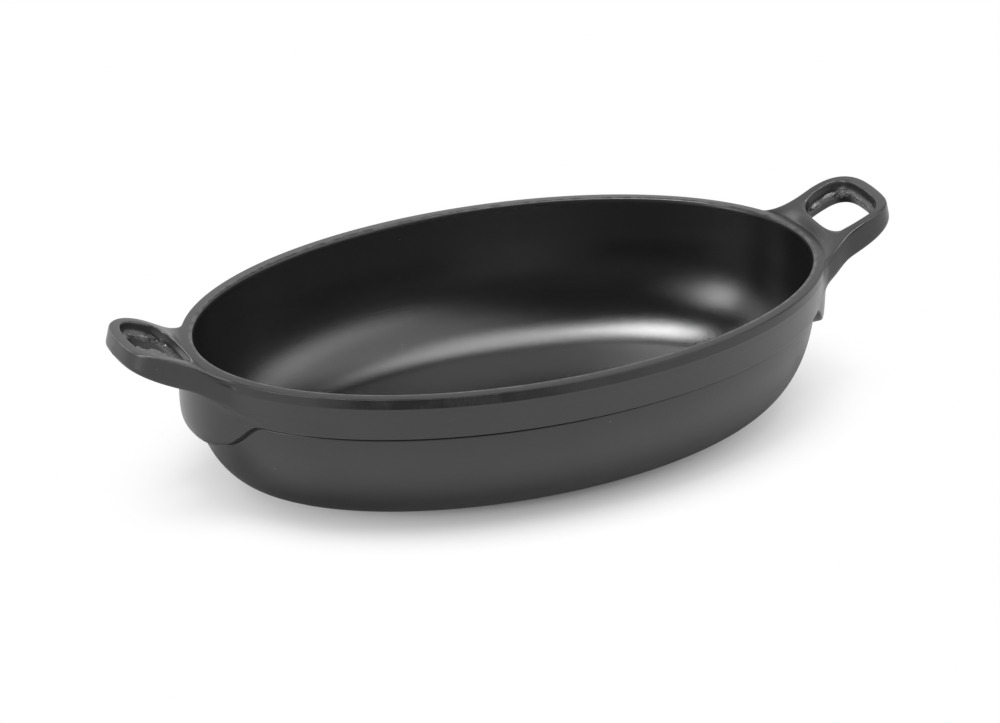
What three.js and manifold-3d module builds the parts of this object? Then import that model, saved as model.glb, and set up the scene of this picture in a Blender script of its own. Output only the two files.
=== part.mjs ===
// Oval serving pan of black cast iron: a deep bowl under a thick flat rim, a raised belt round the
// upper wall, two loop handles that arch up from the rim, and an apron of thicker wall below each.
// The real pan is one casting. Here it is divided along its own feature lines into solids.
// Millimetres, +Z up, +X along the pan, origin in the middle of the base where it meets the table.

import * as THREE from 'three';
import { mergeVertices } from 'three/addons/utils/BufferGeometryUtils.js';
import { TessellateModifier } from 'three/addons/modifiers/TessellateModifier.js';
import Module from 'manifold-3d';

// Bowl and rim
const RIM_LENGTH = 250;
const RIM_WIDTH = 152;
const RIM_HEIGHT = 57;
const BASE_LENGTH = 188;
const BASE_WIDTH = 98;
const BOWL_FULLNESS = 2.1; // 2 makes the lower wall a quarter ellipse, more makes it squarer
const WALL = 2.8;
const FLOOR = 4.5;
const COAT = 0.25; // thickness of the enamel lining
const RIM_DEPTH = 4.1; // height of the rim's ground outer face
const RIM_ROUND = 1.5; // inner top edge of the rim
const RIM_CHAMFER = 0.4; // outer top edge of the rim

// Belt round the upper wall
const BELT_DEPTH = 16.6; // from the rim's top to the belt's lower edge
const BELT_THICK = 2;
const BELT_DRAFT = 1.5; // how far the belt leans in from top to bottom

// Apron below each handle
const APRON_DEPTH = 31.2; // from the rim's top to the apron's lower edge
const APRON_WIDTH = 63;
const APRON_FLAT = 16; // width of the level part of the apron's lower edge
const APRON_PROUD = 1.2; // how far the apron stands out past the rim
const APRON_ROUND = 2.5; // lower edge of the apron

// Loop handles, measured outwards from the tip of the rim
const HANDLE_REACH = 28.4;
const HANDLE_RISE = 12.5; // from the rim's top to the top of the handle's end
const HANDLE_FLARE = 5; // how much wider each side is where the handle runs into the rim
const HANDLE_FLARE_REACH = 5; // where the flare ends
const HANDLE_RISE_START = -2.6; // where the top leaves the level of the rim
const HANDLE_ROOT_DEPTH = 7; // from the rim's top to the underside at the rim's tip
const HANDLE_TIP_THICK = 7;
const HANDLE_ROUND = 1.4; // edges of the handle and of its hole
const ROUND_SHARE = 0.4; // most of a thin bar that one rounded edge takes
const HANDLE_FULLNESS = 0.8; // 0.55 makes the end an ellipse, 1 makes it square
const HOLE_START = 2.6;
const HOLE_WIDTH = 31;
const SIDE_BAR = 4.5; // beside the hole
const HOLE_SOFTNESS = 0.95; // fullness of the hole as a share of the handle's
const END_BAR = 5; // between the hole and the handle's end

const SEAM = 0.3; // clearance between a solid and the neighbour that it is cut to

// Finishes
const IRON = 0x3a3a3b;
const GROUND_IRON = 0x2a2a2b;
const ENAMEL = 0x161617;
const SATIN = 0.45;
const HALF_GLOSS = 0.35;
const METALNESS = 0.1;

// Facets
const ROUND_STEPS = 72;
const WALL_STEPS = 7;
const EDGE_STEPS = 3;
const APRON_STEPS = 36;
const HANDLE_CURVE_STEPS = 8;
const HANDLE_EDGE_STEPS = 2;
const HANDLE_FACET = 5; // longest facet edge before the handle is arched
const HANDLE_SPLITS = 24; // more rounds of splitting than the longest facet needs

const HALF_LENGTH = RIM_LENGTH / 2;
const HALF_WIDTH = RIM_WIDTH / 2;
const RIM_FOOT = RIM_HEIGHT - RIM_DEPTH;
const BELT_FOOT = RIM_HEIGHT - BELT_DEPTH;
const APRON_TOP = RIM_HEIGHT - HANDLE_ROOT_DEPTH;
const APRON_FOOT = RIM_HEIGHT - APRON_DEPTH;
const RIM_THICK = BELT_THICK + WALL;
const WALL_INSET = BELT_DRAFT + BELT_THICK; // outside of the bowl just below the belt
const HOLE_FULLNESS = HANDLE_FULLNESS * HOLE_SOFTNESS;
const HANDLE_WIDTH = HOLE_WIDTH + 2 * SIDE_BAR;
const BAR_ROUND = Math.min(HANDLE_ROUND, Math.min(SIDE_BAR, END_BAR) * ROUND_SHARE);

const wasm = await Module();
wasm.setup();

// A ring is one level of the oval: its half length, half width and height.
// A ring of no size is a middle point.
const ring = (inset, height) => [HALF_LENGTH - inset, HALF_WIDTH - inset, height];
const middle = (height) => [0, 0, height];

function ringPoint([halfLength, halfWidth, height], step) {
  const turn = (2 * Math.PI * (step % ROUND_STEPS)) / ROUND_STEPS;
  return [halfLength * Math.cos(turn), halfWidth * Math.sin(turn), height];
}

function geometryOf(corners) {
  const geometry = new THREE.BufferGeometry();
  geometry.setAttribute('position', new THREE.Float32BufferAttribute(corners, 3));
  return mergeVertices(geometry);
}

// Joins a list of rings into a surface, outwards along the underside, up the outside and back in.
// Solids that share two rings split each facet between them the same way, so their faces meet.
function oval(rings) {
  const corners = [];
  const facet = (...points) => corners.push(...points.flat());
  for (let k = 0; k < rings.length; k++) {
    const near = rings[k];
    const far = rings[(k + 1) % rings.length];
    if (near[0] === 0 && far[0] === 0) continue;
    const rising = far[2] > near[2] || (far[2] === near[2] && far[0] < near[0]);
    for (let step = 0; step < ROUND_STEPS; step++) {
      const [a, b] = [ringPoint(near, step), ringPoint(near, step + 1)];
      const [d, c] = [ringPoint(far, step), ringPoint(far, step + 1)];
      if (near[0] === 0) facet(a, c, d);
      else if (far[0] === 0) facet(a, b, c);
      else if (rising) facet(a, b, c, a, c, d);
      else facet(a, b, d, b, c, d);
    }
  }
  return geometryOf(corners);
}

// Rings of the lower wall from the belt's foot down to a floor, moved inwards by a thickness
function wallRings(inward, floor) {
  const lengthInset = HALF_LENGTH - BASE_LENGTH / 2;
  const widthInset = HALF_WIDTH - BASE_WIDTH / 2;
  const start = WALL_INSET + inward;
  const rings = [];
  for (let k = 0; k <= WALL_STEPS; k++) {
    const turn = (k / WALL_STEPS) * (Math.PI / 2);
    const inwards = 1 - Math.cos(turn) ** (2 / BOWL_FULLNESS);
    const down = Math.sin(turn) ** (2 / BOWL_FULLNESS);
    rings.push([
      HALF_LENGTH - start - (lengthInset - start) * inwards,
      HALF_WIDTH - start - (widthInset - start) * inwards,
      BELT_FOOT - (BELT_FOOT - floor) * down,
    ]);
  }
  return rings;
}

function bowl() {
  return oval([
    middle(0),
    ...wallRings(0, 0).reverse(),
    ring(BELT_THICK, RIM_FOOT),
    ring(RIM_THICK, RIM_FOOT),
    ...wallRings(WALL, FLOOR),
    middle(FLOOR),
  ]);
}

function lining() {
  const top = RIM_HEIGHT - RIM_ROUND;
  return oval([
    middle(FLOOR),
    ...wallRings(WALL, FLOOR).reverse(),
    ring(RIM_THICK, RIM_FOOT),
    ring(RIM_THICK, top),
    ring(RIM_THICK + COAT, top),
    ring(RIM_THICK + COAT, RIM_FOOT),
    ...wallRings(WALL + COAT, FLOOR + COAT),
    middle(FLOOR + COAT),
  ]);
}

function rim() {
  const innerEdge = [];
  for (let k = 0; k <= EDGE_STEPS; k++) {
    const turn = (k / EDGE_STEPS) * (Math.PI / 2);
    const inset = RIM_THICK - RIM_ROUND + RIM_ROUND * Math.sin(turn);
    innerEdge.push(ring(inset, RIM_HEIGHT - RIM_ROUND + RIM_ROUND * Math.cos(turn)));
  }
  return oval([
    ring(0, RIM_FOOT),
    ring(0, RIM_HEIGHT - RIM_CHAMFER),
    ring(RIM_CHAMFER, RIM_HEIGHT),
    ...innerEdge,
    ring(RIM_THICK, RIM_FOOT),
  ]);
}

function belt() {
  return oval([
    ring(BELT_DRAFT, BELT_FOOT),
    ring(0, RIM_FOOT),
    ring(BELT_THICK, RIM_FOOT),
    ring(WALL_INSET, BELT_FOOT),
  ]);
}

function solidOf(geometry) {
  const bare = new THREE.BufferGeometry();
  bare.setAttribute('position', geometry.getAttribute('position'));
  bare.setIndex(geometry.getIndex());
  const closed = mergeVertices(bare);
  const vertProperties = new Float32Array(closed.getAttribute('position').array);
  const triVerts = new Uint32Array(closed.getIndex().array);
  return new wasm.Manifold(new wasm.Mesh({ numProp: 3, vertProperties, triVerts }));
}

function geometryFrom(solid) {
  const { vertProperties, triVerts } = solid.getMesh();
  const geometry = new THREE.BufferGeometry();
  geometry.setAttribute('position', new THREE.BufferAttribute(vertProperties, 3));
  geometry.setIndex(new THREE.BufferAttribute(triVerts, 1));
  return geometry;
}

// Everything inside the pan's outer face, grown by the seam, with a straight wall up past the handles
function panCore() {
  const top = RIM_HEIGHT + HANDLE_RISE + HANDLE_REACH;
  const lowerWall = wallRings(-SEAM, 0).reverse();
  lowerWall.pop();
  return solidOf(oval([
    middle(0),
    ...lowerWall,
    ring(WALL_INSET - SEAM, BELT_FOOT - SEAM),
    ring(BELT_DRAFT - SEAM, BELT_FOOT - SEAM),
    ring(-SEAM, RIM_FOOT),
    ring(-SEAM, top),
    middle(top),
  ]));
}

// The apron at the +X end before it is cut to the bowl: a bent slab with an edge that dips below the belt
function apronSlab(grown) {
  const reach = Math.asin(APRON_WIDTH / RIM_WIDTH);
  const inside = RIM_THICK + WALL;
  const sections = [];
  for (let step = 0; step <= APRON_STEPS; step++) {
    const turn = reach * ((2 * step) / APRON_STEPS - 1);
    const across = Math.abs(HALF_WIDTH * Math.sin(turn));
    const rise = Math.max(across - APRON_FLAT / 2, 0) / ((APRON_WIDTH - APRON_FLAT) / 2);
    const full = Math.sqrt(Math.max(1 - rise ** 2, 0));
    const outside = THREE.MathUtils.lerp(BELT_DRAFT, -APRON_PROUD, full) - grown;
    const foot = THREE.MathUtils.lerp(BELT_FOOT, APRON_FOOT, full) - grown;
    const outline = [[inside, foot]];
    for (let k = 0; k <= EDGE_STEPS; k++) {
      const edge = (k / EDGE_STEPS) * (Math.PI / 2);
      outline.push([
        outside + APRON_ROUND * (1 - Math.sin(edge)),
        foot + APRON_ROUND * (1 - Math.cos(edge)),
      ]);
    }
    outline.push([outside, APRON_TOP + grown], [inside, APRON_TOP + grown]);
    sections.push(outline.map(([inset, height]) => [
      (HALF_LENGTH - inset) * Math.cos(turn),
      (HALF_WIDTH - inset) * Math.sin(turn),
      height,
    ]));
  }
  const corners = [];
  const facet = (...points) => corners.push(...points.flat());
  const count = sections[0].length;
  for (let step = 0; step < APRON_STEPS; step++) {
    for (let k = 0; k < count; k++) {
      const [a, d] = [sections[step][k], sections[step][(k + 1) % count]];
      const [b, c] = [sections[step + 1][k], sections[step + 1][(k + 1) % count]];
      facet(a, b, c, a, c, d);
    }
  }
  for (let k = 1; k < count - 1; k++) {
    facet(sections[0][0], sections[0][k], sections[0][k + 1]);
    facet(sections[APRON_STEPS][0], sections[APRON_STEPS][k + 1], sections[APRON_STEPS][k]);
  }
  return solidOf(geometryOf(corners));
}

function apron() {
  return geometryFrom(apronSlab(0).subtract(panCore()));
}

// Plan of the handle at the +X end, from inside the wall out to its round end, with the finger hole
function handlePlan() {
  const half = HANDLE_WIDTH / 2;
  const flare = half + HANDLE_FLARE;
  const rootTurn = Math.asin(flare / HALF_WIDTH);
  const flareStart = HALF_LENGTH * Math.cos(rootTurn) - HALF_LENGTH;
  const root = flareStart - RIM_THICK;
  const corner = THREE.MathUtils.lerp(HANDLE_FLARE_REACH, HANDLE_REACH, HANDLE_FULLNESS);
  const plan = new THREE.Shape();
  plan.moveTo(root, -flare);
  plan.lineTo(flareStart, -flare);
  plan.quadraticCurveTo(flareStart + HANDLE_FLARE / 2, -half, HANDLE_FLARE_REACH, -half);
  plan.bezierCurveTo(corner, -half, HANDLE_REACH, -half * HANDLE_FULLNESS, HANDLE_REACH, 0);
  plan.bezierCurveTo(HANDLE_REACH, half * HANDLE_FULLNESS, corner, half, HANDLE_FLARE_REACH, half);
  plan.quadraticCurveTo(flareStart + HANDLE_FLARE / 2, half, flareStart, flare);
  plan.lineTo(root, flare);
  plan.closePath();

  const holeEnd = HANDLE_REACH - END_BAR;
  const holeMiddle = (HOLE_START + holeEnd) / 2;
  const holeHalf = HOLE_WIDTH / 2;
  const holeSide = holeHalf * HOLE_FULLNESS;
  const outer = THREE.MathUtils.lerp(holeMiddle, holeEnd, HOLE_FULLNESS);
  const inner = THREE.MathUtils.lerp(holeMiddle, HOLE_START, HOLE_FULLNESS);
  const hole = new THREE.Path();
  hole.moveTo(HOLE_START, 0);
  hole.bezierCurveTo(HOLE_START, holeSide, inner, holeHalf, holeMiddle, holeHalf);
  hole.bezierCurveTo(outer, holeHalf, holeEnd, holeSide, holeEnd, 0);
  hole.bezierCurveTo(holeEnd, -holeSide, outer, -holeHalf, holeMiddle, -holeHalf);
  hole.bezierCurveTo(inner, -holeHalf, HOLE_START, -holeSide, HOLE_START, 0);
  plan.holes.push(hole);
  return plan;
}

// Heights of the handle's arched top and of its straight underside, at a distance out from the rim's tip
function handleTop(out) {
  const left = (HANDLE_REACH - Math.max(out, HANDLE_RISE_START)) / (HANDLE_REACH - HANDLE_RISE_START);
  return RIM_HEIGHT + HANDLE_RISE * (1 - left ** 2);
}
function handleUnderside(out) {
  const rootHeight = RIM_HEIGHT - HANDLE_ROOT_DEPTH;
  const tipHeight = RIM_HEIGHT + HANDLE_RISE - HANDLE_TIP_THICK;
  return THREE.MathUtils.lerp(rootHeight, tipHeight, Math.max(out, 0) / HANDLE_REACH);
}

function handle() {
  const core = HANDLE_TIP_THICK - 2 * BAR_ROUND;
  const flat = new THREE.ExtrudeGeometry(handlePlan(), {
    depth: core,
    curveSegments: HANDLE_CURVE_STEPS,
    bevelThickness: BAR_ROUND,
    bevelSize: BAR_ROUND,
    bevelOffset: -BAR_ROUND,
    bevelSegments: HANDLE_EDGE_STEPS,
  });
  const geometry = new TessellateModifier(HANDLE_FACET, HANDLE_SPLITS).modify(flat);
  const position = geometry.getAttribute('position');
  for (let k = 0; k < position.count; k++) {
    const out = position.getX(k);
    const share = (position.getZ(k) + BAR_ROUND) / HANDLE_TIP_THICK;
    const height = THREE.MathUtils.lerp(handleUnderside(out), handleTop(out), share);
    position.setXYZ(k, HALF_LENGTH + out, position.getY(k), height);
  }
  return geometryFrom(solidOf(geometry).subtract(panCore()).subtract(apronSlab(SEAM)));
}

function piece(name, geometry, color, roughness, halfTurn = false) {
  const finish = new THREE.MeshStandardMaterial({ color, roughness, metalness: METALNESS });
  geometry.computeVertexNormals();
  const mesh = new THREE.Mesh(geometry, finish);
  mesh.name = name;
  mesh.rotation.z = halfTurn ? Math.PI : 0;
  return mesh;
}

const pan = new THREE.Group();
pan.add(
  piece('bowl', bowl(), IRON, SATIN),
  piece('lining', lining(), ENAMEL, HALF_GLOSS),
  piece('rim', rim(), GROUND_IRON, HALF_GLOSS),
  piece('belt', belt(), IRON, SATIN),
  piece('right_apron', apron(), IRON, SATIN),
  piece('left_apron', apron(), IRON, SATIN, true),
  piece('right_handle', handle(), IRON, SATIN),
  piece('left_handle', handle(), IRON, SATIN, true),
);

export default pan;
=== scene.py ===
import math

import bmesh
import bpy
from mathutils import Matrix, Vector, noise


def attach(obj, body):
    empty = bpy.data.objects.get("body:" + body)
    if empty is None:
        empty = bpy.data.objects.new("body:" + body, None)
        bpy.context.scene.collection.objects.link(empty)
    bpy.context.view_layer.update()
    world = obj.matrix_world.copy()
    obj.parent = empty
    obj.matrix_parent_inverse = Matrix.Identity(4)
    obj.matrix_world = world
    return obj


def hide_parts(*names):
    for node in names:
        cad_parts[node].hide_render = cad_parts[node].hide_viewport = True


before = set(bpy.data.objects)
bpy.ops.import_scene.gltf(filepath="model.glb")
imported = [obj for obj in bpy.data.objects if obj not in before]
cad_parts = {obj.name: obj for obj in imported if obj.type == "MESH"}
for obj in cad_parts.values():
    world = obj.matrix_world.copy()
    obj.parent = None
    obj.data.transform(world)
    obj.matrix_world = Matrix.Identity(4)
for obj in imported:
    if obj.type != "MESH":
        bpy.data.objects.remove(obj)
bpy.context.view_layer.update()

MM = 0.001

# The pan's own sizes in millimetres
RIM_HALF_LENGTH = 125.0
RIM_HALF_WIDTH = 76.0
RIM_HEIGHT = 57.0
BASE_HALF_LENGTH = 94.0
BASE_HALF_WIDTH = 49.0
BOWL_FULLNESS = 2.1
FLOOR = 4.0
FLOOR_INSET = 7.0
WALL = 3.05
WALL_INSET = 3.5
BELT_FOOT = 40.4
BELT_INSET = 1.42
STRIP_FOOT = 52.9

# Aprons, the thicker patches of wall below the handles
APRON_FOOT = 26.6
APRON_HALF_WIDTH = 31.0
APRON_SQUARENESS = 4
APRON_SHOULDER = 1.3
APRON_PROUD = 1.2
APRON_EDGE_START = 0.8
APRON_EDGE_SHARE = 0.6
APRON_EDGE_INSET = 1.0
APRON_EDGE_STRETCH = 1.3
APRON_EDGE_ROUND = 0.25
APRON_FACE_START = 0.4

# Handles, measured outwards from the rim's tip
HANDLE_REACH = 27.4
HANDLE_LEAN = 1.6
HANDLE_LEAN_ASIDE = 1 / 3
HANDLE_RISE = 12.5
HANDLE_RISE_START = -2.6
HANDLE_ROOT = 50.3
HANDLE_ROOT_DROP = 0.3
HANDLE_ROOT_PROUD = 0.5
HANDLE_TIP_THICK = 7.0
HANDLE_HALF_WIDTH = 19.4
HANDLE_FULLNESS = 3.1
HANDLE_FLARE_REACH = 5.0
HANDLE_FOOT_FLARE = 0.8
HANDLE_TOP_FLARE = -0.4
HANDLE_UNDER_ROUND = 0.7
HANDLE_UNDERSIDE_LIMIT = 1.05
GUSSET_START = 8.0
GUSSET_END = 34.0
GUSSET_FOOT = 41.4
GUSSET_CURVE = 1.3
HOLE_START = 2.6
HOLE_END = 23.4
HOLE_HALF_WIDTH = 15.5
HOLE_RIM_FULLNESS = 3.4
HOLE_TIP_FULLNESS = 2.83
HOLE_TAPER = 0.5

# Flash, the thin skin of metal that the mould left in the finger holes
FLASH = 1.1
FLASH_TONGUE = 16.0
FLASH_TONGUE_MIDDLE = 0.33
FLASH_TONGUE_SPREAD = 0.2
FLASH_LUMPS_PER_METRE = 450
FLASH_TEETH_PER_METRE = 1300
FLASH_TEETH_SHARE = 0.7
FLASH_SWELL = 0.3
FLASH_RAGGEDNESS = 1.2

# The casting's outline from below the belt up over the rim and down inside: how far each point
# stands in from the rim's edge, and its height
GROOVE = ((WALL_INSET, 38.5), (3.55, 38.95), (4.1, 39.15))
STEP = ((3.6, 40.1), (1.55, 40.32), (BELT_INSET, 40.55))
BELT_FACE = ((1.36, 41.3), (1.0, 44.6), (0.7, 47.2), (0.45, 49.2))
BAND = ((0.3, HANDLE_ROOT), (0.2, 51.4), (0.06, 52.5))
STRIP = ((0, STRIP_FOOT), (0, 53.3), (0, 54.6), (0, 56.0), (0.03, 56.5))
RIM_TOP = ((0.25, 56.68), (0.9, 56.76), (2.4, 56.92), (3.5, RIM_HEIGHT), (4.25, 56.85), (4.65, 56.3))
LINING_TOP = ((4.8, 55.4), (4.85, 54.4), (5.3, 50), (5.85, 45))

# The cage that the casting is drawn on: columns are counted from the middle of each handle
COLUMNS = 192
COLUMN_TURN = 2 * math.pi / COLUMNS
BAR_COLUMN = 6
ROOT_COLUMN = 10
APRON_COLUMN = 13
GUSSET_COLUMN = 14
GUSSET_BLEND_COLUMNS = 4
BASE_SHARES = (0.35, 0.85)
FLOOR_SHARES = (0.8, 0.6, 0.3)
OUTER_WALL_RINGS = 8
INNER_WALL_RINGS = 9
APRON_FACE_SHARES = (0.14, 0.45, 0.75, 0.93)

# Stations of a handle: first its whole root is drawn out to the hole, then a bar on each side of it.
# The cage has points at these shares of a bar's width and height.
ROOT_STATIONS = 2
ROOT_SHARE = 0.45
BAR_STATIONS = 10
BAR_START = math.radians(60)
BAR_TURN_CURVE = 1.4
BAR_ACROSS = (0, 0.14, 0.46, 0.76, 1)
BAR_UP = (0, 0.12, 0.36, 0.45, 0.53, 0.62, 0.84, 1)
FLASH_BELOW, FLASH_ABOVE = BAR_UP[2], BAR_UP[5]


def lerp(a, b, share):
    return a + (b - a) * share


def ease(share):
    share = min(max(share, 0), 1)
    return share * share * (3 - 2 * share)


# Rings of the casting: half length, half width and height of each

def lip(inset, height):
    return (RIM_HALF_LENGTH - inset, RIM_HALF_WIDTH - inset, height)


def lips(outline):
    return [lip(inset, height) for inset, height in outline]


def wall_ring(height, floor=0, inward=0, floor_inset=0):
    down = (BELT_FOOT - height) / (BELT_FOOT - floor)
    turn = math.asin(min(max(down, 0) ** (BOWL_FULLNESS / 2), 1))
    drawn_in = 1 - max(math.cos(turn), 0) ** (2 / BOWL_FULLNESS)
    start = WALL_INSET + inward
    return (
        lerp(RIM_HALF_LENGTH - start, BASE_HALF_LENGTH - floor_inset, drawn_in),
        lerp(RIM_HALF_WIDTH - start, BASE_HALF_WIDTH - floor_inset, drawn_in),
        height,
    )


def wall_heights(floor, count):
    turns = [math.pi / 2 * step / count for step in range(count + 1)]
    return [lerp(BELT_FOOT, floor, math.sin(turn) ** (2 / BOWL_FULLNESS)) for turn in turns]


def flat_ring(share, height):
    return (BASE_HALF_LENGTH * share, BASE_HALF_WIDTH * share, height)


rings = [flat_ring(share, 0) for share in BASE_SHARES]
BASE_EDGE_ROW = len(rings)
rings += [wall_ring(height) for height in reversed(wall_heights(0, OUTER_WALL_RINGS)[1:])]
rings += lips(GROOVE)
STEP_ROW = len(rings)
rings += lips(STEP)
APRON_FACE_ROW = len(rings)
rings += lips(BELT_FACE)
BAND_FOOT = len(rings)
rings += lips(BAND)
STRIP_ROW = len(rings)
rings += lips(STRIP)
OUTER_EDGE_ROW = len(rings)
BAND_TOP = OUTER_EDGE_ROW - 1
INNER_EDGE_ROW = OUTER_EDGE_ROW + 3
rings += lips(RIM_TOP)
LINING_ROW = len(rings)
rings += lips(LINING_TOP)
for inner_height in wall_heights(FLOOR, INNER_WALL_RINGS)[:-1]:
    rings.append(wall_ring(inner_height, FLOOR, WALL, FLOOR_INSET))
rings += [flat_ring(share, FLOOR) for share in FLOOR_SHARES]

# How worn the edges of the rim's top are, by their rows; the same mark also paints a highlight line along
# these edges
EDGE_WEAR_AND_HIGHLIGHT = {OUTER_EDGE_ROW: 0.6, INNER_EDGE_ROW: 1.0, INNER_EDGE_ROW + 1: 1.0}


def edit(piece):
    bpy.ops.object.select_all(action="DESELECT")
    bpy.context.view_layer.objects.active = piece
    piece.select_set(True)
    bpy.ops.object.mode_set(mode="EDIT")


def draw_rings():
    bpy.ops.object.select_all(action="DESELECT")
    bpy.ops.mesh.primitive_circle_add(vertices=COLUMNS, radius=1)
    casting = bpy.context.object
    edit(casting)
    bpy.ops.mesh.select_all(action="SELECT")
    length, width, height = rings[0]
    bpy.ops.transform.resize(value=(length * MM, width * MM, 1))
    for next_length, next_width, next_height in rings[1:]:
        rise = (0, 0, (next_height - height) * MM)
        bpy.ops.mesh.extrude_region_move(TRANSFORM_OT_translate={"value": rise})
        bpy.ops.transform.resize(value=(next_length / length, next_width / width, 1))
        length, width, height = next_length, next_width, next_height
    bpy.ops.mesh.select_all(action="SELECT")
    bpy.ops.mesh.normals_make_consistent(inside=False)
    return casting


# Every point of the cage keeps its ring, its column, its station and how worn or torn it is; the worn
# mark also paints highlight lines along edges

casting = draw_rings()
mesh = bmesh.from_edit_mesh(casting.data)
row_of = mesh.verts.layers.int.new("row")
column_of = mesh.verts.layers.int.new("column")
station_of = mesh.verts.layers.int.new("station")
wear_and_highlight_of = mesh.verts.layers.float.new("wear_and_highlight")
flash_of = mesh.verts.layers.float.new("flash")
for point in mesh.verts:
    row = point.index // COLUMNS
    length, width, height = rings[row]
    turn = math.atan2(point.co.y / width, abs(point.co.x) / length)
    point[row_of] = row
    point[column_of] = round(turn / COLUMN_TURN)
    point[wear_and_highlight_of] = EDGE_WEAR_AND_HIGHLIGHT.get(row, 0.0)
bmesh.update_edit_mesh(casting.data)


# Aprons: the belt's foot dips below each handle, and the handle's sides run down into it

def apron_share(across):
    """How much of the apron there is at this distance from the handle's middle"""
    return max(1 - (across / APRON_HALF_WIDTH) ** APRON_SQUARENESS, 0) ** APRON_SHOULDER


def gusset_height(across):
    """Height of the line along which a handle's underside runs down into the belt"""
    share = max(across - GUSSET_START, 0) / (GUSSET_END - GUSSET_START)
    return lerp(HANDLE_ROOT, GUSSET_FOOT, min(share, 1) ** GUSSET_CURVE)


def belt_inset(height):
    return BELT_INSET * (STRIP_FOOT - height) / (STRIP_FOOT - BELT_FOOT)


def wall_below_apron(ring, foot):
    """The wall and its groove, pressed down with the apron's foot"""
    length, width, height = ring
    groove = length - wall_ring(height)[0]
    wall_length, wall_width, level = wall_ring(height * foot / BELT_FOOT)
    return (wall_length + groove, wall_width + groove, level)


def apron_edge(step, ring, foot, full):
    """The apron's lower edge, in three points from close to the wall out to the apron's face"""
    length, width, height = ring
    behind = RIM_HALF_LENGTH - wall_ring(foot)[0]
    insets = (
        behind - APRON_EDGE_START,
        lerp(behind, -APRON_PROUD, APRON_EDGE_SHARE),
        APRON_EDGE_INSET - APRON_PROUD,
    )
    inset = lerp(RIM_HALF_LENGTH - length, insets[step], full)
    return lip(inset, foot + (height - BELT_FOOT) * lerp(1, APRON_EDGE_STRETCH, full))


def apron_face(share, foot, gusset, full):
    level = lerp(foot + APRON_FACE_START, gusset, share)
    rounded = APRON_EDGE_ROUND * (1 - share) ** 4
    return lip(lerp(belt_inset(level), rounded - APRON_PROUD, full), level)


def handle_root(height, column, gusset, full):
    """The band that a handle grows from, stretched down to the gusset's line"""
    level = lerp(gusset, STRIP_FOOT, (height - HANDLE_ROOT) / (STRIP_FOOT - HANDLE_ROOT))
    down = (STRIP_FOOT - level) / (STRIP_FOOT - gusset)
    proud = HANDLE_ROOT_PROUD * ease((GUSSET_COLUMN + 1 - column) / GUSSET_BLEND_COLUMNS) * down
    return lip(lerp(belt_inset(level), -APRON_PROUD, full * down) - proud, level)


def ring_by_handle(row, column):
    across = RIM_HALF_WIDTH * math.sin(column * COLUMN_TURN)
    full = apron_share(across)
    foot = lerp(BELT_FOOT, APRON_FOOT, full)
    gusset = gusset_height(across)
    if row < STEP_ROW:
        return wall_below_apron(rings[row], foot)
    if row < APRON_FACE_ROW:
        return apron_edge(row - STEP_ROW, rings[row], foot, full)
    if row < BAND_FOOT:
        return apron_face(APRON_FACE_SHARES[row - APRON_FACE_ROW], foot, gusset, full)
    return handle_root(rings[row][2], column, gusset, full)


def sides_of(point):
    """The pan's end and side that a point is on, each as 1 or -1"""
    return math.copysign(1, point.co.x), math.copysign(1, point[column_of])


def shape_aprons():
    mesh = bmesh.from_edit_mesh(casting.data)
    for point in mesh.verts:
        row, column = point[row_of], abs(point[column_of])
        if column <= GUSSET_COLUMN and BASE_EDGE_ROW < row < STRIP_ROW:
            length, width, height = ring_by_handle(row, column)
            end, side = sides_of(point)
            turn = column * COLUMN_TURN
            point.co = Vector((end * length * math.cos(turn), side * width * math.sin(turn), height)) * MM
    bmesh.update_edit_mesh(casting.data)


shape_aprons()


# Handles: the rim's band is drawn out past the hole and round it as two bars that meet

def handle_top(out):
    reach = HANDLE_REACH + HANDLE_LEAN / 2
    left = (reach - max(out, HANDLE_RISE_START)) / (reach - HANDLE_RISE_START)
    return RIM_HEIGHT + HANDLE_RISE * (1 - left ** 2)


def handle_underside(out):
    tip = RIM_HEIGHT + HANDLE_RISE - HANDLE_TIP_THICK
    share = min(max(out, 0) / HANDLE_REACH, HANDLE_UNDERSIDE_LIMIT)
    return lerp(HANDLE_ROOT - HANDLE_ROOT_DROP, tip, share)


def squircle(turn, fullness):
    along = math.copysign(abs(math.cos(turn)) ** (2 / fullness), math.cos(turn))
    return along, max(math.sin(turn), 0) ** (2 / fullness)


def hole_edge(turn):
    along, wide = squircle(turn, HOLE_RIM_FULLNESS if turn < math.pi / 2 else HOLE_TIP_FULLNESS)
    middle = (HOLE_START + HOLE_END) / 2
    return middle - (HOLE_END - middle) * along, HOLE_HALF_WIDTH * wide


def outer_edge(turn, up):
    along, wide = squircle(turn, HANDLE_FULLNESS)
    rounded = HANDLE_UNDER_ROUND * (1 - min(up / BAR_UP[1], 1))
    lean = HANDLE_LEAN * (1 - up) - rounded
    out = lerp(HANDLE_FLARE_REACH, HANDLE_REACH + lean, along)
    return out, (HANDLE_HALF_WIDTH + lean * HANDLE_LEAN_ASIDE) * wide


def on_flash(up):
    return FLASH_BELOW < up < FLASH_ABOVE


def hole_wall(up):
    """How far the hole's wall stands in: tapered to its middle, where the flash is left"""
    return HOLE_TAPER * (1 - abs(2 * up - 1)) + FLASH * on_flash(up)


def root_point(column, up):
    out, wide = hole_edge(BAR_START * column / BAR_COLUMN)
    return out + hole_wall(up), wide, lerp(handle_underside(out), handle_top(out), up)


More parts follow.
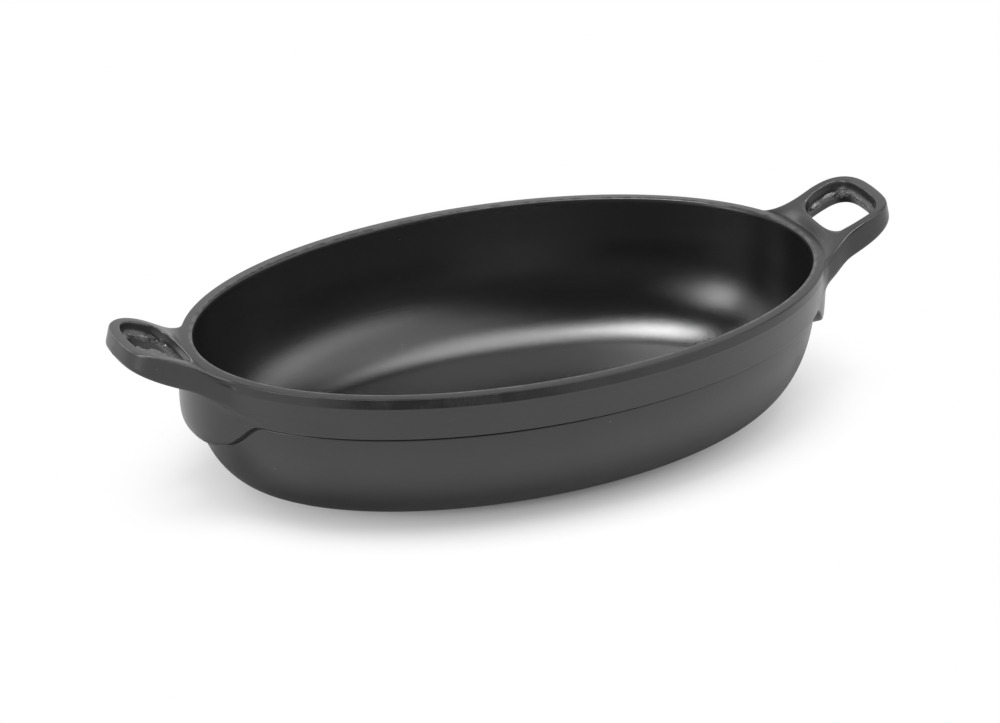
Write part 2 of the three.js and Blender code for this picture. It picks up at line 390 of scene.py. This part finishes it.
def bar_point(share, across, up, tongue):
    inner = hole_edge(lerp(BAR_START, math.pi, share))
    outer = outer_edge(math.pi / 2 * (1 - share ** BAR_TURN_CURVE), up)
    span = math.hypot(outer[0] - inner[0], outer[1] - inner[1])
    part = lerp(-hole_wall(up) / span, 1, across)
    out = lerp(inner[0], outer[0], part)
    wide = lerp(inner[1], outer[1], part) if share < 1 else 0.0
    if across == 0 and on_flash(up):
        wide -= tongue * ease(2 - abs(share - FLASH_TONGUE_MIDDLE) / FLASH_TONGUE_SPREAD)
    return out, wide, lerp(handle_underside(out), handle_top(out), up)


def station_point(station, column, up, tongue):
    if column <= BAR_COLUMN and station <= ROOT_STATIONS:
        return root_point(column, up)
    share = max(station - ROOT_STATIONS, 0) / (BAR_STATIONS - 1)
    return bar_point(share, BAR_ACROSS[column - BAR_COLUMN], up, tongue)


def first_station_place(start, goal, column, up, side):
    """The first station lies part of the way to the hole and is wider at its foot"""
    place = start.lerp(goal, ROOT_SHARE)
    top = handle_top(abs(place.x) / MM - RIM_HALF_LENGTH) * MM
    place.z = lerp(place.z, top, up)
    if column > BAR_COLUMN:
        flare = lerp(HANDLE_FOOT_FLARE, HANDLE_TOP_FLARE, up)
        place.y += side * BAR_ACROSS[column - BAR_COLUMN] * flare * MM
    return place


def place_station(station):
    """Moves the points just drawn out, and marks where the coat is worn and the flash is torn; the worn
    mark on the top edges also paints a highlight line
    """
    mesh = bmesh.from_edit_mesh(casting.data)
    for point in mesh.verts:
        if not point.select:
            continue
        column = abs(point[column_of])
        up = BAR_UP[point[row_of] - BAND_FOOT]
        end, side = sides_of(point)
        tongue = FLASH_TONGUE if end < 0 and side < 0 else 0
        out, wide, height = station_point(station, column, up, tongue)
        place = Vector((end * (RIM_HALF_LENGTH + out), side * wide, height)) * MM
        if station == 1:
            place = first_station_place(point.co, place, column, up, side)
        on_hole = column <= BAR_COLUMN
        # The holes' top edges and the left handle's root edge get a painted highlight line, which is
        # partly wear
        on_highlit_worn_edge = on_hole or (column == ROOT_COLUMN and end < 0)
        point.co = place
        point[station_of] = station
        point[flash_of] = float(station > 1 and on_hole and on_flash(up))
        point[wear_and_highlight_of] = float(station > 1 and on_highlit_worn_edge and up == 1)
    bmesh.update_edit_mesh(casting.data)


def pick_front(station, first_column):
    mesh = bmesh.from_edit_mesh(casting.data)
    for face in mesh.faces:
        face.select_set(all(
            point[station_of] == station and BAND_FOOT <= point[row_of] <= BAND_TOP
            and first_column <= abs(point[column_of]) <= ROOT_COLUMN
            for point in face.verts
        ))
    bmesh.update_edit_mesh(casting.data)


def draw_out(first_station, last_station):
    for station in range(first_station, last_station + 1):
        bpy.ops.mesh.extrude_region_move()
        place_station(station)


def draw_handles():
    bpy.ops.mesh.select_mode(type="FACE")
    pick_front(0, 0)
    draw_out(1, ROOT_STATIONS)
    pick_front(ROOT_STATIONS, BAR_COLUMN)
    draw_out(ROOT_STATIONS + 1, ROOT_STATIONS + BAR_STATIONS - 1)
    bpy.ops.mesh.delete(type="ONLY_FACE")
    bpy.ops.mesh.select_all(action="SELECT")
    bpy.ops.mesh.remove_doubles(threshold=0.01 * MM)
    bpy.ops.mesh.normals_make_consistent(inside=False)


def soften_roots():
    """The handles' sides run into the belt without a corner"""
    bpy.ops.mesh.select_mode(type="VERT")
    mesh = bmesh.from_edit_mesh(casting.data)
    for point in mesh.verts:
        low = BAND_FOOT - 1 <= point[row_of] <= STRIP_ROW + 1
        point.select_set(low and point[station_of] == 0 and abs(point[column_of]) == ROOT_COLUMN)
    mesh.select_flush_mode()
    bmesh.update_edit_mesh(casting.data)
    bpy.ops.mesh.vertices_smooth(factor=0.5, repeat=2)


draw_handles()
soften_roots()


# Every face gets the name of its piece, and the casting is divided along its feature lines

PIECES = ("bowl", "lining", "rim", "belt", "right_apron", "left_apron", "right_handle", "left_handle")
THICK = {"bowl": 2.4, "lining": 0.2, "rim": 1.2, "belt": 1.2, "right_apron": 1.2, "left_apron": 1.2}
SMOOTHING = 2
SHARP_EDGE = math.radians(40)
FLAT_MIDDLE = 0.5


def piece_of(face):
    rows = [point[row_of] for point in face.verts]
    column = max(abs(point[column_of]) for point in face.verts)
    end = "right_" if face.calc_center_median().x > 0 else "left_"
    if any(point[station_of] > 0 for point in face.verts):
        return end + "handle"
    if min(rows) >= LINING_ROW:
        return "lining"
    if min(rows) >= STRIP_ROW:
        return "rim"
    if min(rows) < STEP_ROW - 1:
        return "bowl"
    return end + "apron" if column <= APRON_COLUMN and min(rows) < BAND_FOOT else "belt"


def name_faces():
    for name in PIECES:
        casting.data.materials.append(bpy.data.materials.new(name))
    mesh = bmesh.from_edit_mesh(casting.data)
    for face in mesh.faces:
        face.material_index = PIECES.index(piece_of(face))
    bmesh.update_edit_mesh(casting.data)


def smooth_casting():
    bpy.ops.object.mode_set(mode="OBJECT")
    smooth = casting.modifiers.new("smooth", "SUBSURF")
    smooth.levels = smooth.render_levels = SMOOTHING
    bpy.ops.object.modifier_apply(modifier=smooth.name)


def cut_out(name):
    bpy.ops.object.select_all(action="DESELECT")
    bpy.context.view_layer.objects.active = casting
    casting.select_set(True)
    bpy.ops.object.duplicate()
    piece = bpy.context.object
    piece.name = piece.data.name = "pan_" + name
    edit(piece)
    mesh = bmesh.from_edit_mesh(piece.data)
    slot = PIECES.index(name)
    for face in mesh.faces:
        face.select_set(face.material_index != slot)
    bmesh.update_edit_mesh(piece.data)
    bpy.ops.mesh.delete(type="FACE")
    return piece


def roughen_flash(piece):
    """The broken flash in the finger hole has a ragged edge"""
    mesh = bmesh.from_edit_mesh(piece.data)
    flash = mesh.verts.layers.float["flash"]
    for point in mesh.verts:
        lumps = noise.noise(point.co * FLASH_LUMPS_PER_METRE)
        teeth = noise.noise(point.co * FLASH_TEETH_PER_METRE)
        ragged = FLASH_SWELL + FLASH_RAGGEDNESS * (lumps + FLASH_TEETH_SHARE * teeth)
        point.co += point.normal * point[flash] * ragged * MM
    bmesh.update_edit_mesh(piece.data)


def fill_hole(piece, in_hole):
    """Closes one open edge of a piece with a fan of faces"""
    bpy.ops.mesh.select_mode(type="EDGE")
    bpy.ops.mesh.select_all(action="DESELECT")
    mesh = bmesh.from_edit_mesh(piece.data)
    for edge in mesh.edges:
        edge.select_set(edge.is_boundary and all(in_hole(point.co / MM) for point in edge.verts))
    bmesh.update_edit_mesh(piece.data)
    bpy.ops.mesh.edge_face_add()
    bpy.ops.mesh.poke()


def in_middle(place):
    """The flat middle of the floor, left open while the rings are smoothed"""
    return math.hypot(place.x / BASE_HALF_LENGTH, place.y / BASE_HALF_WIDTH) < FLAT_MIDDLE


def close(name, piece):
    if name in ("bowl", "lining"):
        fill_hole(piece, in_middle)
    if name.endswith("handle"):
        fill_hole(piece, lambda place: True)
    bpy.ops.object.mode_set(mode="OBJECT")
    if name in THICK:
        wall = piece.modifiers.new("wall", "SOLIDIFY")
        wall.thickness = THICK[name] * MM
        wall.offset = -1
        bpy.ops.object.modifier_apply(modifier=wall.name)
    bpy.ops.object.shade_smooth_by_angle(angle=SHARP_EDGE)
    piece.data.materials.clear()


name_faces()
smooth_casting()
pieces = {}
for name in PIECES:
    pieces[name] = cut_out(name)
    if name.endswith("handle"):
        roughen_flash(pieces[name])
    close(name, pieces[name])
bpy.data.objects.remove(casting)


# Finishes

def set_sockets(tree, node, sockets):
    """Gives each of these sockets its value, or its link where the value is a wire"""
    for name, value in sockets.items():
        if isinstance(value, Wire):
            tree.links.new(value.socket, node.inputs[name])
        else:
            node.inputs[name].default_value = value


class Wire:
    """An output of a material's nodes, so that a sum on it is written as a plain sum"""

    def __init__(self, tree, socket=None):
        self.tree = tree
        self.socket = socket

    def node(self, kind, settings, sockets, output=0):
        made = self.tree.nodes.new(kind)
        for name, value in settings.items():
            setattr(made, name, value)
        set_sockets(self.tree, made, sockets)
        return Wire(self.tree, made.outputs[output])

    def maths(self, operation, first, second):
        return self.node("ShaderNodeMath", {"operation": operation}, {0: first, 1: second})

    def __add__(self, other):
        return self.maths("ADD", self, other)

    def __sub__(self, other):
        return self.maths("SUBTRACT", self, other)

    def __rsub__(self, other):
        return self.maths("SUBTRACT", other, self)

    def __mul__(self, other):
        return self.maths("MULTIPLY", self, other)

    __radd__ = __add__
    __rmul__ = __mul__


def new_finish(name):
    """A material, and the place on its surface in metres"""
    finish = bpy.data.materials.new(name)
    finish.use_nodes = True
    return finish, Wire(finish.node_tree).node("ShaderNodeTexCoord", {}, {}, "Object")


def pan_finish(name):
    """The same for a finish of the pan, with the place in millimetres"""
    finish, place = new_finish(name)
    return finish, place.node("ShaderNodeVectorMath", {"operation": "SCALE"}, {0: place, "Scale": 1 / MM})


def set_shader(finish, sockets):
    tree = finish.node_tree
    set_sockets(tree, tree.nodes["Principled BSDF"], sockets)


def lay_over(finish, share, shader):
    """A second shader over the material's own, as much of it as the share says"""
    tree = finish.node_tree
    own = Wire(tree, tree.nodes["Principled BSDF"].outputs[0])
    mix = share.node("ShaderNodeMixShader", {}, {0: share, 1: own, 2: shader})
    set_sockets(tree, tree.nodes["Material Output"], {"Surface": mix})


def measure(place, axis):
    """How far a place lies along an axis"""
    return place.node("ShaderNodeVectorMath", {"operation": "DOT_PRODUCT"}, {0: place, 1: axis}, 1)


def grain(place, size, detail=2):
    """Cloudy noise with lumps of this size in millimetres"""
    return place.node("ShaderNodeTexNoise", {}, {"Vector": place, "Scale": 1 / size, "Detail": detail})


def soft_step(wire, low, high):
    settings = {"interpolation_type": "SMOOTHSTEP"}
    return wire.node("ShaderNodeMapRange", settings, {"Value": wire, "From Min": low, "From Max": high})


def patches(place, size, low, high, detail=3):
    """The same noise, drawn apart into bare and covered patches"""
    return soft_step(grain(place, size, detail), low, high)


def blend(share, first, second):
    return share.node("ShaderNodeMix", {"data_type": "RGBA"}, {0: share, 6: first, 7: second}, 2)


def grey(level):
    return (level, level, level, 1)


def specks(place, spacing, size):
    """Specks of dust: a dot near the middle of some of the cells"""
    near = place.node("ShaderNodeTexVoronoi", {}, {"Vector": place, "Scale": 1 / spacing})
    dot = 1 - soft_step(near, 0.4 * size / spacing, size / spacing)
    return dot * patches(place, spacing * 3, 0.5, 0.58, detail=1)


def painted(place, name):
    return place.node("ShaderNodeAttribute", {"attribute_name": name}, {}, 2)


def bumps(height, depth):
    return height.node("ShaderNodeBump", {}, {"Height": height, "Strength": 1, "Distance": depth * MM})


def satin_coat():
    finish, place = pan_finish("satin_coat")
    clouds = grain(place, size=26, detail=4)
    lumps = grain(place, size=3)
    fine = grain(place, size=0.7, detail=3)
    dust = specks(place, spacing=9, size=0.35)
    wear_and_highlight = soft_step(painted(place, "wear_and_highlight"), 0.35, 0.85) * patches(place, 2.5, 0.25, 0.5)
    flash = painted(place, "flash") * patches(place, 0.8, 0.2, 0.7)
    low = 1 - soft_step(measure(place, (0, 0, 1)), 4, 38)
    coat = blend(clouds, grey(0.014), grey(0.024))
    # Worn edges are painted a paler grey: partly wear, partly a painted highlight along the rounded edges
    coat = blend(wear_and_highlight * 0.8, coat, grey(0.08))
    # The flash is painted a pale grey, as painted light for the light it catches inside the hole
    coat = blend(flash, coat, grey(0.12))
    coat = blend(dust * 0.7, coat, grey(0.2))
    set_shader(finish, {
        "Base Color": coat,
        "Roughness": 0.24 + clouds * 0.06 + fine * 0.05 + low * 0.06 - wear_and_highlight * 0.05 + flash * 0.25,
        "IOR": 1.56,
        "Normal": bumps(fine + lumps * 1.5, 0.02),
    })
    return finish


def ground_and_shaded_strip_mask(along, across, height):
    """The rim's outer face along its two long sides, fading out towards the right handle: ground with
    grind marks, and painted dark as a painted shade for the dark reflection it shows at the front
    """
    outer = soft_step(along * along + across * across, 0.974, 0.982)
    below_top = 1 - soft_step(height, RIM_HEIGHT - 0.29, RIM_HEIGHT - 0.22)
    above_foot = soft_step(height, STRIP_FOOT, STRIP_FOOT + 0.2)
    long_sides = soft_step(across * across, 0.34, 0.6)
    # The painted shade fades out towards the right handle
    fading = 1 - soft_step(along, -0.45, 0.3) * 0.85
    return outer * below_top * long_sides * above_foot * fading


def ground_and_shaded_edge():
    finish, place = pan_finish("ground_and_shaded_edge")
    along = measure(place, (1 / RIM_HALF_LENGTH, 0, 0))
    across = measure(place, (0, 1 / RIM_HALF_WIDTH, 0))
    height = measure(place, (0, 0, 1))
    ground_and_shaded_strip = ground_and_shaded_strip_mask(along, across, height)
    around = along.maths("ARCTAN2", across, along)
    lines = place.node("ShaderNodeCombineXYZ", {}, {0: around * 300, 1: height * 0.2, 2: 0})
    marks = grain(lines, size=1, detail=3) * patches(place, 12, 0.3, 0.6, detail=2)
    clouds = grain(place, size=20, detail=4)
    fine = grain(place, size=0.7, detail=3)
    dust = specks(place, spacing=10, size=0.35)
    wear_and_highlight = soft_step(painted(place, "wear_and_highlight"), 0.4, 0.9) * patches(place, 3, 0.35, 0.65)
    surface = bumps(ground_and_shaded_strip * marks + fine * 0.8, 0.025)
    coat = blend(clouds, grey(0.015), grey(0.025))
    # Worn edges are painted a paler grey: partly wear, partly a painted highlight along the rim's rounded
    # edges
    coat = blend(wear_and_highlight * 0.7, coat, grey(0.09))
    coat = blend(dust * 0.7, coat, grey(0.2))
    set_shader(finish, {"Base Color": coat, "Roughness": 0.25 + clouds * 0.08, "Normal": surface})
    # The strip is painted near black and made less shiny: partly the ground finish with its grind marks,
    # partly a painted shade for the dark reflection along the front
    lay_over(finish, ground_and_shaded_strip, place.node("ShaderNodeBsdfPrincipled", {}, {
        "Base Color": blend(soft_step(marks, 0.2, 0.8), grey(0.006), grey(0.03)),
        "Roughness": 0.3 + marks * 0.15,
        "Specular IOR Level": 0.22,
        "Normal": surface,
    }))
    return finish


def grained_enamel():
    finish, place = pan_finish("grained_enamel")
    clouds = grain(place, size=30, detail=3)
    peel = grain(place, size=0.65)
    fine = grain(place, size=0.35)
    dust = specks(place, spacing=7, size=0.3)
    coat = blend(clouds, grey(0.008), grey(0.013))
    coat = blend(dust * 0.6, coat, grey(0.16))
    set_shader(finish, {
        "Base Color": coat,
        "Roughness": 0.17 + clouds * 0.03 + fine * 0.05,
        "IOR": 1.75,
        "Normal": bumps(peel + fine * 0.8, 0.05),
    })
    return finish


satin = satin_coat()
FINISHES = {"lining": ("enamel", grained_enamel()), "rim": ("ground_iron", ground_and_shaded_edge())}
for name, piece in pieces.items():
    slot, finish = FINISHES.get(name, ("iron", satin))
    piece.data.materials.append(finish)
    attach(piece, "root")
    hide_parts(name)


# Floor, cards and light, in metres

FLOOR_SIZE = 8
SHADOW_OVAL = (6.5, 9.5, 0)
SHADOW_SEEN = (0.38, 1.05)
SHADOW_MIRRORED = (0.8, 1.6)
STUDIO_LEVEL = 0.34

# Name, size, tilt and place of each dark card
DARK_CARDS = (
    ("front_card", (3.6, 2.4, 1), math.pi / 2, (-0.3, -2.4, 1.35)),
    ("ceiling_card", (8, 6.1, 1), 0, (0, -0.95, 2.6)),
)

# Name, turn and rise in degrees, distance, width, height and watts of each softbox
SOFTBOXES = (
    ("overhead_softbox", -160, 82, 1.2, 0.5, 0.44, 10.5),
    ("second_overhead_softbox", -24, 72, 1.3, 0.7, 0.5, 4.8),
    ("left_softbox", -160, 16, 1.3, 0.5, 0.84, 5.4),
    ("right_softbox", -40, 32, 1.4, 1.2, 1.3, 6.2),
    ("back_softbox", 134, 40, 1.4, 0.6, 0.5, 3),
)

scene = bpy.context.scene
scene.view_settings.view_transform = "Standard"


def rays_seen(tree):
    """Two switches: 1 for rays from the camera, and 1 for rays from a reflection or through glass"""
    kinds = ("Is Camera Ray", "Is Glossy Ray", "Is Transmission Ray")
    seen, mirrored, through = (Wire(tree).node("ShaderNodeLightPath", {}, {}, kind) for kind in kinds)
    return seen, mirrored.maths("MAXIMUM", mirrored, through)


def white_floor():
    """White all round, with the pan's own shadow close to it"""
    finish, place = new_finish("white_floor")
    set_shader(finish, {"Base Color": grey(0.85), "Roughness": 0.9, "Specular IOR Level": 0})
    from_pan = place.node("ShaderNodeVectorMath", {"operation": "MULTIPLY"}, {0: place, 1: SHADOW_OVAL})
    away = place.node("ShaderNodeVectorMath", {"operation": "LENGTH"}, {0: from_pan}, 1)
    seen, mirrored = rays_seen(finish.node_tree)
    pale = seen * soft_step(away, *SHADOW_SEEN) + mirrored * soft_step(away, *SHADOW_MIRRORED)
    lay_over(finish, pale, place.node("ShaderNodeEmission", {}, {}))
    return finish


def lay_floor():
    bpy.ops.object.select_all(action="DESELECT")
    bpy.ops.mesh.primitive_plane_add(size=FLOOR_SIZE)
    floor = bpy.context.object
    floor.name = "floor"
    floor.data.materials.append(white_floor())


def hang_card(name, size, tilt, place, finish):
    bpy.ops.object.select_all(action="DESELECT")
    bpy.ops.mesh.primitive_plane_add(size=1)
    card = bpy.context.object
    card.name = name
    edit(card)
    bpy.ops.mesh.select_all(action="SELECT")
    bpy.ops.transform.resize(value=size)
    bpy.ops.transform.rotate(value=tilt, orient_axis="X", center_override=(0, 0, 0))
    bpy.ops.transform.translate(value=place)
    bpy.ops.object.mode_set(mode="OBJECT")
    card.data.materials.append(finish)


def hang_dark_cards():
    """One card behind the camera and one overhead keep the rest of the studio dim"""
    dark = bpy.data.materials.new("dark_card")
    dark.use_nodes = True
    set_shader(dark, {"Base Color": grey(0.03), "Roughness": 0.9})
    for card in DARK_CARDS:
        hang_card(*card, dark)


def light_world():
    """White where it is seen or mirrored, and dimmer as a light"""
    world = bpy.data.worlds.new("studio")
    scene.world = world
    world.use_nodes = True
    tree = world.node_tree
    seen, mirrored = rays_seen(tree)
    level = (seen + mirrored) * (1 - STUDIO_LEVEL) + STUDIO_LEVEL
    set_sockets(tree, tree.nodes["Background"], {"Color": grey(1), "Strength": level})


def direction(turn, rise):
    return Vector((math.cos(turn) * math.cos(rise), math.sin(turn) * math.cos(rise), math.sin(rise)))


def hang_softbox(name, turn, rise, distance, width, height, power):
    lamp = bpy.data.lights.new(name, "AREA")
    lamp.energy = power
    lamp.shape = "RECTANGLE"
    lamp.size = width
    lamp.size_y = height
    softbox = bpy.data.objects.new(name, lamp)
    towards = direction(math.radians(turn), math.radians(rise))
    softbox.location = towards * distance
    softbox.rotation_euler = (-towards).to_track_quat("-Z", "Y").to_euler()
    scene.collection.objects.link(softbox)


lay_floor()
hang_dark_cards()
light_world()
for softbox in SOFTBOXES:
    hang_softbox(*softbox)


# Camera: it stands in front and to the left, and looks a little below and beside the rim's middle

CAMERA_AZIMUTH = math.radians(-24.97)
CAMERA_ELEVATION = math.radians(25.739)
CAMERA_DISTANCE = 1.8251
CAMERA_DOWN = math.radians(0.795)
CAMERA_ASIDE = math.radians(0.097)
LENS = 180
SENSOR_WIDTH = 36

lens = bpy.data.cameras.new("camera")
lens.lens = LENS
lens.sensor_width = SENSOR_WIDTH
camera = bpy.data.objects.new("camera", lens)
rim_middle = Vector((0, 0, RIM_HEIGHT * MM))
camera.location = rim_middle + direction(CAMERA_AZIMUTH - math.pi / 2, CAMERA_ELEVATION) * CAMERA_DISTANCE
camera.rotation_euler = (
    math.pi / 2 - CAMERA_ELEVATION - CAMERA_DOWN, 0, CAMERA_AZIMUTH + CAMERA_ASIDE,
)
scene.collection.objects.link(camera)
scene.camera = camera
